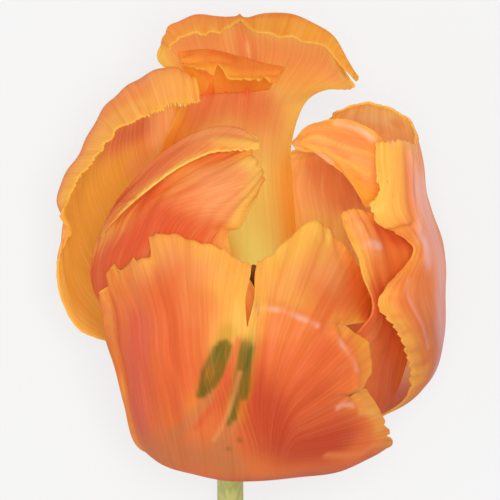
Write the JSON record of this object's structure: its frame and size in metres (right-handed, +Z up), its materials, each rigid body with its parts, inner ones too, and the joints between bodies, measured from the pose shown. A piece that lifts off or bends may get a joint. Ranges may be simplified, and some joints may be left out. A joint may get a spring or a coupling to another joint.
{
  "type": "parrot tulip",
  "caption": "Cut parrot tulip lying down: ragged, folded orange petals cupped round a pistil and stamens on a bare stem.",
  "frame": {"origin": "on the surface that the flower lies on, under the middle of its bounding box", "axes": "+Y along the stem towards the flower, +Z up from the surface, +X to the right as seen from above with the flower pointing away"},
  "size_m": [0.0846, 0.2356, 0.0699],
  "materials": {
    "stem": "matt green plant stem",
    "pistil": "matt yellow-green",
    "stamens": "matt dark anthers",
    "outer_front": "satin petal, orange-red with yellow margins and green flames",
    "outer_right": "satin petal, orange with a pale pinkish sheen",
    "outer_left": "satin petal, golden orange inside",
    "inner_front_left": "satin petal, striped orange-red",
    "inner_front_right": "satin petal, orange",
    "inner_back": "satin petal, golden orange"
  },
  "bodies": {
    "root": {"stem": "stem", "pistil": "pistil", "stamens": "stamens", "tepal_outer_front": "outer_front", "tepal_outer_right": "outer_right", "tepal_outer_left": "outer_left", "tepal_inner_front_left": "inner_front_left", "tepal_inner_front_right": "inner_front_right", "tepal_inner_back": "inner_back"}
  },
  "joints": []
}
